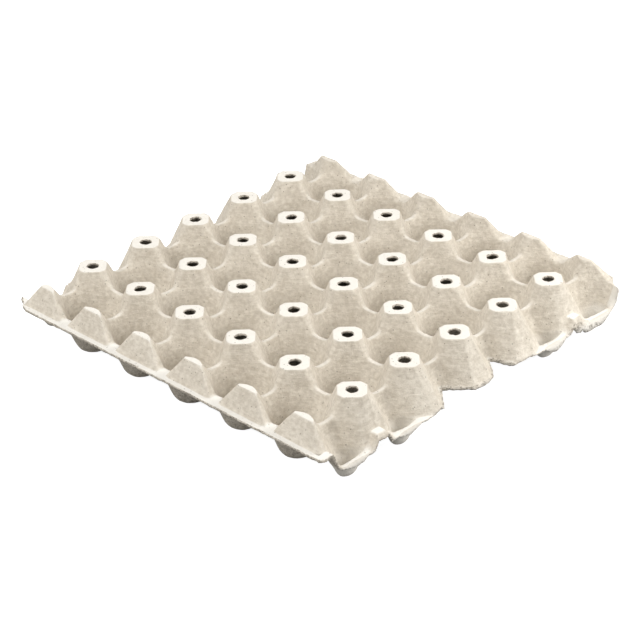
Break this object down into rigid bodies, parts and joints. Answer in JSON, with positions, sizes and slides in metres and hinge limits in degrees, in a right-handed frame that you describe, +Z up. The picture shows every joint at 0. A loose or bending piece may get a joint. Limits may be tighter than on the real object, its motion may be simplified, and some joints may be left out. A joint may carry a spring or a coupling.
{
  "type": "pulp egg tray",
  "caption": "Square moulded-pulp tray with rows of round-bottomed cups for eggs, flat-topped posts with holes between them, and trimmed edges with lips and notches.",
  "frame": {"origin": "middle of the tray, at the level that the undersides of the cups stand on", "axes": "+Z up, the rows of five cups run along X, the rows of six cups run along Y, the straight flanges face -Y and +Y"},
  "size_m": [0.2952, 0.2956, 0.044],
  "materials": {
    "moulded_pulp": "matt fibrous moulded pulp, warm light grey"
  },
  "bodies": {
    "root": {"egg_tray": "moulded_pulp"}
  },
  "joints": []
}
